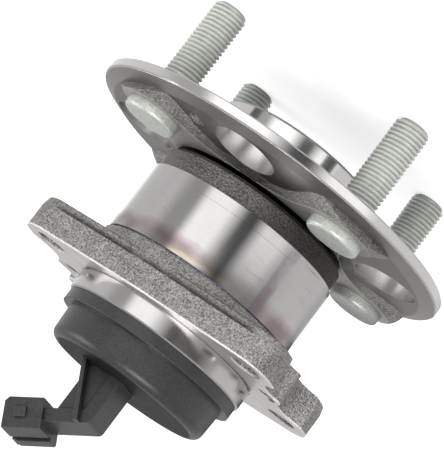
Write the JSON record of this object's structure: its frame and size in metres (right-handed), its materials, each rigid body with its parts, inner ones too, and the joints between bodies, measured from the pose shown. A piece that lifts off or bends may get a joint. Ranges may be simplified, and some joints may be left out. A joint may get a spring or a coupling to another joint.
{
  "type": "wheel hub bearing unit",
  "caption": "Flanged wheel hub bearing unit with mounting plate, wheel studs, centring pilot and a plastic cap that carries a wheel-speed sensor plug on a bent arm.",
  "frame": {"origin": "centre of the mounting face that meets the axle, on the spin axis", "axes": "+Z along the spin axis from the wheel to the axle, +X along the long side of the mounting plate and towards the sensor plug"},
  "size_m": [0.1316, 0.1316, 0.1469],
  "materials": {
    "forged_steel": "rough forging with ground barrel and machined faces",
    "hub_steel": "rough forging with turned faces",
    "bearing_steel": "ground",
    "ball_steel": "polished",
    "plated_steel": "zinc plated, satin",
    "pressed_steel": "pressed sheet",
    "black_rubber": "matt",
    "magnet_rubber": "matt",
    "cap_plastic": "fine satin moulding",
    "sensor_resin": "smooth",
    "tinned_brass": "tin plated",
    "cage_nylon": "smooth moulding"
  },
  "bodies": {
    "outer_ring": {"outer_ring": "forged_steel", "seal_case": "pressed_steel", "seal_lip": "black_rubber", "cap_sleeve": "pressed_steel", "cap_o_ring": "black_rubber", "sensor_cap": "cap_plastic", "sensor_chip": "sensor_resin", "terminal_pin_1": "tinned_brass", "terminal_pin_2": "tinned_brass"},
    "hub": {"hub_flange": "hub_steel", "inner_ring": "bearing_steel", "spindle_nut": "plated_steel", "encoder_carrier": "pressed_steel", "encoder_ring": "magnet_rubber", "wheel_stud_1": "plated_steel", "wheel_stud_2": "plated_steel", "wheel_stud_3": "plated_steel", "wheel_stud_4": "plated_steel"},
    "outboard_cage": {"outboard_cage": "cage_nylon", "outboard_ball_01": "ball_steel", "outboard_ball_02": "ball_steel", "outboard_ball_03": "ball_steel", "outboard_ball_04": "ball_steel", "outboard_ball_05": "ball_steel", "outboard_ball_06": "ball_steel", "outboard_ball_07": "ball_steel", "outboard_ball_08": "ball_steel", "outboard_ball_09": "ball_steel", "outboard_ball_10": "ball_steel", "outboard_ball_11": "ball_steel", "outboard_ball_12": "ball_steel"},
    "inboard_cage": {"inboard_cage": "cage_nylon", "inboard_ball_01": "ball_steel", "inboard_ball_02": "ball_steel", "inboard_ball_03": "ball_steel", "inboard_ball_04": "ball_steel", "inboard_ball_05": "ball_steel", "inboard_ball_06": "ball_steel", "inboard_ball_07": "ball_steel", "inboard_ball_08": "ball_steel", "inboard_ball_09": "ball_steel", "inboard_ball_10": "ball_steel", "inboard_ball_11": "ball_steel", "inboard_ball_12": "ball_steel"}
  },
  "joints": [
    {"name": "hub_spin", "type": "hinge", "parent": "outer_ring", "child": "hub", "pos_m": [0, 0, -0.0226], "axis": [0, 0, 1], "continuous": true},
    {"name": "outboard_cage_spin", "type": "hinge", "parent": "outer_ring", "child": "outboard_cage", "pos_m": [0, 0, -0.0362], "axis": [0, 0, 1], "continuous": true},
    {"name": "inboard_cage_spin", "type": "hinge", "parent": "outer_ring", "child": "inboard_cage", "pos_m": [0, 0, -0.009], "axis": [0, 0, 1], "continuous": true}
  ],
  "couplings": [
    {"joint": "outboard_cage_spin", "follows": "hub_spin", "ratio": 0.415},
    {"joint": "inboard_cage_spin", "follows": "hub_spin", "ratio": 0.415}
  ]
}
